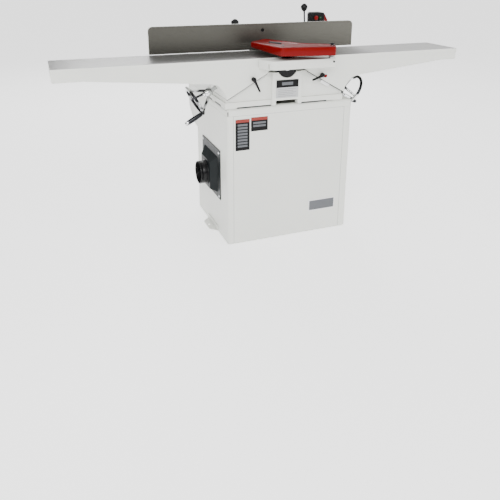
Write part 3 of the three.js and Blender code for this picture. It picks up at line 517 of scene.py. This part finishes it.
# ---------------------------------------------------------------- guard
def build_guard():
    """The swinging cutterhead guard: a deep-rimmed casting that thins towards the fence."""
    pivot = joint_point("guard_swing")
    low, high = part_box("cutterhead_guard")[0].z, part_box("cutterhead_guard")[1].z
    corners = [(x * MM, y * MM, r * MM) for x, y, r in [
        (-174, 265, 12), (-268, 192, 16), (-220, -10, 14), (-14, -55.7, 8),
        (2, -30, 12), (18, 6, 12), (11, 24, 12), (-89, 88, 60),
    ]]
    outline = rounded_outline(corners, 8)
    shift = pivot.to_2d()

    def lowest(point):
        rise = max(0.0, min(1.0, (point.y - 0.062) / 0.16))
        return low + 0.015 * rise

    def level(distance, height):
        return ring(mesh, [
            Vector((p.x + shift.x, p.y + shift.y, height(p) if callable(height) else height))
            for p in inset(outline, distance)
        ])

    mesh = bmesh.new()
    levels = [
        (0.0045, high - 0.0065), (0.0045, lowest), (0.0008, lowest), (0.0, lambda p: lowest(p) + 0.001),
        (0.0, high - 0.0062), (0.0007, high - 0.0034), (0.0020, high - 0.0014), (0.0036, high - 0.0004),
        (0.0046, high), (0.0054, high - 0.0003), (0.0062, high - 0.0014), (0.0072, high - 0.0018),
    ]
    rings = [level(distance, height) for distance, height in levels]
    for first, second in zip(rings, rings[1:]):
        bridge(mesh, first, second)
    mesh.faces.new(rings[0][::-1])
    mesh.faces.new(rings[-1])
    caps = [face for face in mesh.faces if len(face.verts) > 4]
    mesh.normal_update()
    bmesh.ops.triangulate(mesh, faces=caps, ngon_method="EAR_CLIP")
    guard = link_mesh("guard_casting", mesh, MATS["red_guard"], "guard")
    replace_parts(smooth(guard, 48), "cutterhead_guard")

    mesh = bmesh.new()
    lathe(mesh, [
        (0, -0.0258), (0.0105, -0.0258), (0.012, -0.0245), (0.012, 0.0), (0, 0.0),
    ], 36, Vector((pivot.x, pivot.y, high - 0.007)))
    link_mesh("guard_boss", mesh, MATS["red_guard"], "guard")

    mesh = bmesh.new()
    for a, b, wide in (((-0.205, 0.150), (-0.178, 0.090), 0.008), ((-0.196, 0.030), (-0.180, 0.070), 0.005)):
        start = Vector((a[0] + shift.x, a[1] + shift.y, high - 0.0015))
        end = Vector((b[0] + shift.x, b[1] + shift.y, high - 0.0015))
        tube(mesh, [start, start.lerp(end, 0.5), end], [wide, wide, wide], 12, 0.12)
    smooth(link_mesh("guard_slots", mesh, MATS["black_plastic"], "guard"))


# ---------------------------------------------------------------- levers and knobs
def build_lock_lever(side):
    """A black lever on the base's front: a domed hub and a tapered arm that ends in a round tip."""
    node = f"{side}_lock_lever"
    low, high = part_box(node)
    hub = joint_point(f"{side}_lock_turn")
    front = low.y + 0.001
    leans_left = abs(low.x - hub.x) > abs(high.x - hub.x)
    tip_x = low.x + 0.004 if leans_left else high.x - 0.004
    tip = Vector((tip_x, front + 0.002, low.z + 0.004))
    mesh = bmesh.new()
    lathe(mesh, [
        (0, -0.0016), (0.0078, -0.0016), (0.0086, 0.0), (0.0092, 0.006), (0.0088, 0.011),
        (0.0065, 0.0138), (0, 0.0148),
    ], 32)
    mesh.transform(Matrix.Translation(hub) @ Matrix.Rotation(math.radians(90), 4, "X"))
    start = Vector((hub.x, front + 0.006, hub.z))
    steps = 8
    path = [start.lerp(tip, t / steps) for t in range(steps + 1)]
    radii = [0.0060 - 0.0016 * (t / steps) for t in range(steps + 1)]
    rounding = 0.0026
    path.append(path[-1] + (tip - start).normalized() * rounding)
    radii.append(rounding)
    tube(mesh, path, radii, 16, 0.85)
    black = "black_plastic"
    lever = link_mesh(f"{side}_lever_arm", mesh, MATS[black], f"{side}_lock")
    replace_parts(smooth(lever, 50), node)


def build_fence_knobs():
    base = joint_point("fence_tilt_knob_turn")
    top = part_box("fence_tilt_knob")[1].z
    mesh = bmesh.new()
    lathe(mesh, [
        (0, base.z - 0.011), (0.008, base.z - 0.011), (0.008, base.z + 0.03), (0.006, base.z + 0.034),
        (0.006, top - 0.026), (0, top - 0.026),
    ], 28, Vector((base.x, base.y, 0)))
    stem = link_mesh("fence_knob_stem", mesh, MATS["steel"], "fence_tilt_knob")
    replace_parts(smooth(stem, 40), "fence_tilt_knob")
    mesh = bmesh.new()
    lathe(mesh, [
        (0, -0.028), (0.009, -0.028), (0.0105, -0.024), (0.0165, -0.0205), (0.0179, -0.016),
        (0.0165, -0.0105), (0.0115, -0.0048), (0.0065, -0.0012), (0.003, 0.0), (0, 0.0),
    ], 56)
    for vertex in mesh.verts:
        a = math.atan2(vertex.co.y, vertex.co.x)
        reach = math.hypot(vertex.co.x, vertex.co.y)
        lobe = 1 - 0.08 * (0.5 - 0.5 * math.cos(7 * a)) * min(1.0, (reach / 0.0165) ** 3)
        vertex.co.x *= lobe
        vertex.co.y *= lobe
    mesh.transform(Matrix.Translation(Vector((base.x, base.y, top))))
    smooth(link_mesh("fence_knob", mesh, MATS["black_plastic"], "fence_tilt_knob"), 60)

    low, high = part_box("fence_lever_knob")
    centre = (low + high) / 2
    mesh = bmesh.new()
    half = (high.z - low.z) / 2
    steps = 18
    profile = [(0, -half)]
    for k in range(1, steps):
        t = k / steps
        swell = math.sin(math.pi * t) ** 0.62
        profile.append(((0.0122 + 0.0058 * t) * swell, -half + 2 * half * t))
    profile.append((0, half))
    lathe(mesh, profile, 48, centre)
    ball = link_mesh("fence_lever_ball", mesh, MATS["black_plastic"], "fence_lock")
    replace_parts(smooth(ball, 60), "fence_lever_knob")


# ---------------------------------------------------------------- dust port
def build_dust_collar():
    low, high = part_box("dust_collar")
    centre = Vector((low.x, (low.y + high.y) / 2, (low.z + high.z) / 2))
    depth = high.x - low.x
    profile = [
        (0.0468, depth), (0.0468, 0.003), (0.0474, 0.0008), (0.0482, 0.0), (0.0494, 0.0006), (0.0500, 0.002),
        (0.0500, 0.0085), (0.0492, 0.0095), (0.0492, 0.0125), (0.0500, 0.0135),
        (0.0500, depth - 0.0175), (0.0502, depth - 0.0118), (0.056, depth - 0.0118), (0.057, depth - 0.0105),
        (0.057, depth - 0.0092), (0.0505, depth - 0.0082), (0.0500, depth), (0.0468, depth),
    ]
    mesh = bmesh.new()
    lathe(mesh, profile, 96)
    bmesh.ops.remove_doubles(mesh, verts=mesh.verts, dist=1e-6)
    collar = link_mesh(
        "dust_collar_moulding", mesh, MATS["black_plastic"], "root",
        facing((1, 0, 0), centre),
    )
    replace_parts(smooth(collar, 40), "dust_collar")


def screw_head(mesh, at, outward, radius=0.0052):
    """Adds a domed screw head with a socket, which faces outward at a point."""
    head = bmesh.new()
    lathe(head, [
        (0, -0.001), (radius, -0.001), (radius, 0.0008), (radius * 0.86, 0.0024), (radius * 0.45, 0.0033),
        (radius * 0.36, 0.0032), (radius * 0.3, 0.0016), (0, 0.0016),
    ], 24)
    head.transform(facing(outward, at))
    merged = bpy.data.meshes.new("head")
    head.to_mesh(merged)
    head.free()
    mesh.from_mesh(merged)
    bpy.data.meshes.remove(merged)


def build_screws():
    low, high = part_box("dust_chute")
    plate_front = high.x - 0.003
    mesh = bmesh.new()
    for y in (low.y + 0.013, high.y - 0.013):
        for z in (low.z + 0.013, high.z - 0.013):
            screw_head(mesh, Vector((plate_front, y, z)), (-1, 0, 0))
    smooth(link_mesh("dust_plate_screws", mesh, MATS["steel"], "root"), 40)

    low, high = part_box("rabbeting_ledge")
    mesh = bmesh.new()
    screw_head(mesh, Vector((high.x - 0.013, low.y, high.z - 0.013)), (0, -1, 0), 0.0042)
    smooth(link_mesh("ledge_set_screw", mesh, MATS["black_plastic"], "infeed_table"), 40)

    low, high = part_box("cabinet_rear_panel")
    mesh = bmesh.new()
    for x in (low.x + 0.014, (low.x + high.x) / 2, high.x - 0.014):
        for z in (low.z + 0.02, high.z - 0.02):
            screw_head(mesh, Vector((x, high.y, z)), (0, 1, 0), 0.0055)
    smooth(link_mesh("rear_panel_screws", mesh, MATS["steel"], "root"), 40)


# ---------------------------------------------------------------- plates
def face_plate(name, low, high, material, round_by=0.0008, slot="label"):
    mesh = bmesh.new()
    slab(mesh, low, high)
    piece = link_mesh(name, mesh, material, "root")
    bevel(piece, round_by, 2)
    return piece


def on_front(x0, x1, z0, z1, front, thick):
    return (x0, front - thick, z0), (x1, front - 0.0001, z1)


PLATE_MATS = {
    "black": coated("plate_black", (0.003, 0.003, 0.0033), 0.4, peel=0.02, specular=0.15),
    "silver": coated("plate_silver", (0.42, 0.425, 0.43), 0.4, peel=0.02),
    "grey": coated("plate_grey", (0.085, 0.09, 0.1), 0.45, peel=0.02),
    "rust": coated("plate_rust", (0.21, 0.011, 0.004), 0.4, peel=0.02),
    "white": coated("plate_white", (0.72, 0.72, 0.72), 0.4, peel=0.02),
}


def build_cabinet_plates():
    """Plates with a coloured band and plain bars, and a plain badge. None of them has lettering."""
    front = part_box("cabinet_front_panel")[0].y
    band = 0.013
    row_pitch, row_height, row_inset = 0.0125, 0.0085, 0.009
    for name, x0, x1, z0, z1 in (
        ("tall", -0.184, -0.124, 0.412, 0.541),
        ("wide", -0.118, -0.046, 0.488, 0.545),
    ):
        ground_box = on_front(x0, x1, z0, z1, front, 0.0008)
        face_plate(f"cabinet_plate_{name}", *ground_box, PLATE_MATS["black"])
        band_box = on_front(x0, x1, z1 - band, z1, front, 0.0011)
        face_plate(f"plate_{name}_band", *band_box, PLATE_MATS["rust"])
        rows = int((z1 - z0 - band - 0.01) / row_pitch)
        for k in range(rows):
            top = z1 - band - 0.006 - k * row_pitch
            row_box = on_front(x0 + row_inset, x1 - row_inset, top - row_height, top, front, 0.0011)
            face_plate(f"plate_{name}_row_{k + 1}", *row_box, PLATE_MATS["grey"], 0.0003)
    badge = on_front(0.150, 0.280, 0.096, 0.150, front, 0.0012)
    face_plate("cabinet_badge", *badge, PLATE_MATS["white"], 0.002)
    field = on_front(0.155, 0.275, 0.101, 0.145, front, 0.0016)
    face_plate("cabinet_badge_field", *field, PLATE_MATS["grey"], 0.001)


def build_nameplate():
    """The plate on the base: a dark upper part with a plain field, and a pale lower part with bars."""
    low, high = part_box("base_nameplate")
    face = low.y
    split = low.z + 0.58 * (high.z - low.z)
    middle = (low.x + high.x) / 2
    edge = 0.0004
    face_plate(
        "nameplate_upper", (low.x, face - 0.0005, split), (high.x, face - 0.0001, high.z),
        PLATE_MATS["black"], edge,
    )
    face_plate(
        "nameplate_lower", (low.x, face - 0.0004, low.z), (high.x, face - 0.0001, split),
        PLATE_MATS["silver"], edge,
    )
    face_plate(
        "nameplate_field", (middle - 0.024, face - 0.0009, split + 0.009),
        (middle + 0.024, face - 0.0004, high.z - 0.009), PLATE_MATS["grey"], edge,
    )
    for k in range(5):
        z = split - 0.006 - k * 0.007
        right = high.x - 0.010 - 0.012 * (k % 2)
        face_plate(
            f"nameplate_rule_{k + 1}", (low.x + 0.008, face - 0.0007, z - 0.0012),
            (right, face - 0.0003, z), PLATE_MATS["grey"], 0.0002,
        )


def build_depth_scale():
    """The small plate that lies along the infeed way beside the depth pointer."""
    pointer_low, pointer_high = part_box("depth_pointer")
    base_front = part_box("base_casting")[0].y
    at = Vector((pointer_high.x - 0.006, base_front + 0.0045, pointer_low.z - 0.022))
    place = Matrix.Translation(at) @ Matrix.Rotation(WAY_SLOPE, 4, "Y")
    mesh = bmesh.new()
    slab(mesh, (-0.022, -0.0012, -0.0085), (0.022, 0.0, 0.0085))
    scale = link_mesh("depth_scale", mesh, PLATE_MATS["white"], "root", place)
    bevel(scale, 0.004, 4)


def build_shadow_strips():
    """Dark strips painted as shadow under the base's front flange and in the slots at its outfeed end."""
    base_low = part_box("base_casting")[0]
    pan_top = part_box("cabinet_top_pan")[1].z
    front = base_low.y + 0.0086
    top = base_low.z + 0.0042
    mesh = bmesh.new()
    for left, right in ((-0.176, -0.033), (0.099, 0.216)):
        slab(mesh, (left, front, pan_top + 0.0003), (right, front + 0.010, top))
    for slot_front, slot_rear in ((-0.181, -0.105), (-0.063, 0.019)):
        low = (base_low.x + 0.0004, slot_front, pan_top + 0.0015)
        high = (base_low.x + 0.022, slot_rear, top + 0.0024)
        slab(mesh, low, high)
    link_mesh("base_shadow_strips", mesh, MATS["black_plastic"], "root")


def build_way_shadow_strips():
    """Dark strips painted as shadow in the gaps between the tables' front edges and the ways. They ride with the
    tables.
    """
    infeed_shift = joint_point("guard_swing").x - GUARD_X
    for side, name, shift, drop in (
        (-1, "outfeed", 0.0, 0.0),
        (1, "infeed", infeed_shift, -INFEED_DROP),
    ):
        mesh = bmesh.new()
        length = 0.168 / math.cos(WAY_SLOPE)
        slab(mesh, (-length / 2, 0.0, -0.0020), (length / 2, 0.0105, 0.0))
        middle = Vector((
            CUTTER_X + side * 0.169 + shift,
            TABLE_FRONT + 0.0035,
            WAY_TOP - math.tan(WAY_SLOPE) * 0.085 + drop,
        ))
        place = Matrix.Translation(middle) @ Matrix.Rotation(side * WAY_SLOPE, 4, "Y")
        # The rubber finish here paints the shadow in the way gaps.
        link_mesh(f"{name}_way_shadow", mesh, MATS["rubber"], f"{name}_table", place)


def build_panel_seams():
    """The shadow lines round the cabinet's front panel."""
    low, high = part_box("cabinet_front_panel")
    shadow = coated("seam_shadow", (0.30, 0.31, 0.29), 0.6)
    front, rear = low.y - 0.0003, low.y + 0.0003
    mesh = bmesh.new()
    for x in (low.x, high.x):
        slab(mesh, (x - 0.0009, front, 0.004), (x + 0.0009, rear, high.z))
    slab(mesh, (low.x, front, high.z - 0.0008), (high.x, rear, high.z + 0.0008))
    link_mesh("panel_seams", mesh, shadow, "root")


def build_fence_plug():
    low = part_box("fence")[0]
    place = facing((0, 1, 0), Vector((0.008, low.y + 0.0035, 0.862)))
    mesh = bmesh.new()
    lathe(mesh, [(0, 0.0), (0.0072, 0.0), (0.0072, 0.006), (0, 0.006)], 28)
    link_mesh("fence_hole_plug", mesh, MATS["black_plastic"], "fence", place)


# ---------------------------------------------------------------- switch
def build_switch():
    for name, slot, radius in (
        ("stop_button", "red_plastic", 0.010),
        ("start_button", "green_plastic", 0.007),
    ):
        low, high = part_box(name)
        centre = Vector(((low.x + high.x) / 2, low.y, (low.z + high.z) / 2))
        place = facing((0, 1, 0), centre)
        depth = high.y - low.y
        mesh = bmesh.new()
        lathe(mesh, [
            (0, -0.0002), (radius * 0.6, 0.0), (radius * 0.9, 0.0006), (radius, 0.0018),
            (radius, depth), (0, depth),
        ], 36)
        button = link_mesh(f"{name}_cap", mesh, MATS[slot], name, place)
        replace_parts(smooth(button, 40), name)

        mesh = bmesh.new()
        lathe(mesh, [
            (radius + 0.0008, 0.0042), (radius + 0.0008, 0.0026), (radius + 0.0032, 0.0026),
            (radius + 0.0040, 0.0036), (radius + 0.0040, 0.0056), (radius + 0.0008, 0.0056),
            (radius + 0.0008, 0.0042),
        ], 36)
        bmesh.ops.remove_doubles(mesh, verts=mesh.verts, dist=1e-6)
        black = "black_plastic"
        smooth(link_mesh(f"{name}_bezel", mesh, MATS[black], "root", place), 40)


# ---------------------------------------------------------------- room
SKY = 1.5
FLOOR_GLOW = 1.1


def build_stage():
    """A pale floor that glows a little, under a white sky that darkens towards the horizon."""
    floor_mat = Recipe("studio_floor", (0.86, 0.86, 0.86), 0.6)
    floor_mat.color(floor_mat.mix(floor_mat.noise(1.5), (0.84, 0.84, 0.84), (0.88, 0.88, 0.88)))
    floor_mat.shader.inputs["Emission Color"].default_value = (1, 1, 1, 1)
    floor_mat.shader.inputs["Emission Strength"].default_value = FLOOR_GLOW
    bpy.ops.mesh.primitive_plane_add(size=60, location=(0, 0, -0.0005))
    floor = bpy.context.object
    floor.name = "studio_floor"
    floor.data.materials.append(floor_mat.material)
    world = bpy.data.worlds.new("studio")
    bpy.context.scene.world = world
    world.use_nodes = True
    tree = world.node_tree
    tree.nodes["Background"].inputs["Strength"].default_value = SKY
    coords = tree.nodes.new("ShaderNodeTexCoord")
    split = tree.nodes.new("ShaderNodeSeparateXYZ")
    ramp = tree.nodes.new("ShaderNodeValToRGB")
    dark, bright = ramp.color_ramp.elements
    dark.position = 0.30
    dark.color = (0.10, 0.10, 0.10, 1)
    bright.position = 0.62
    bright.color = (1, 1, 1, 1)
    tree.links.new(coords.outputs["Generated"], split.inputs["Vector"])
    tree.links.new(split.outputs["Z"], ramp.inputs["Fac"])
    tree.links.new(ramp.outputs["Color"], tree.nodes["Background"].inputs["Color"])


def area_light(name, at, target, size, power):
    data = bpy.data.lights.new(name, "AREA")
    data.shape = "RECTANGLE"
    data.size, data.size_y = size
    data.energy = power
    light = bpy.data.objects.new(name, data)
    bpy.context.scene.collection.objects.link(light)
    light.location = at
    light.rotation_mode = "QUATERNION"
    light.rotation_quaternion = (Vector(target) - Vector(at)).to_track_quat("-Z", "Y")


def build_lights():
    area_light("key", (-1.8, -3.4, 2.6), (0, 0, 0.5), (2.4, 1.6), 150)
    area_light("fill", (3.0, -2.6, 1.8), (0, 0, 0.5), (1.6, 1.6), 45)
    area_light("back", (0.5, 3.4, 2.6), (0, 0, 0.5), (2.4, 1.4), 90)


def build_camera():
    """The camera stands left of centre and looks down 18 degrees, with a 40 mm lens."""
    data = bpy.data.cameras.new("camera")
    data.lens = 39.98
    data.sensor_width = 36.0
    data.shift_x, data.shift_y = -0.0015, -0.2
    camera = bpy.data.objects.new("camera", data)
    bpy.context.scene.collection.objects.link(camera)
    yaw, pitch, roll = 0.36698, 0.31869, 0.00445
    turn = Euler((math.pi / 2 - pitch, 0, -yaw)).to_matrix() @ Matrix.Rotation(roll, 3, "Z")
    camera.matrix_world = Matrix.Translation((-0.8836, -2.2250, 1.1133)) @ turn.to_4x4()
    bpy.context.scene.camera = camera


build_camera()
build_stage()
build_lights()
dress_cad()
build_handwheel("outfeed")
build_handwheel("infeed")
build_guard()
build_lock_lever("outfeed")
build_lock_lever("infeed")
build_fence_knobs()
build_dust_collar()
build_screws()
build_cabinet_plates()
build_nameplate()
build_depth_scale()
build_shadow_strips()
build_way_shadow_strips()
build_panel_seams()
build_fence_plug()
build_switch()
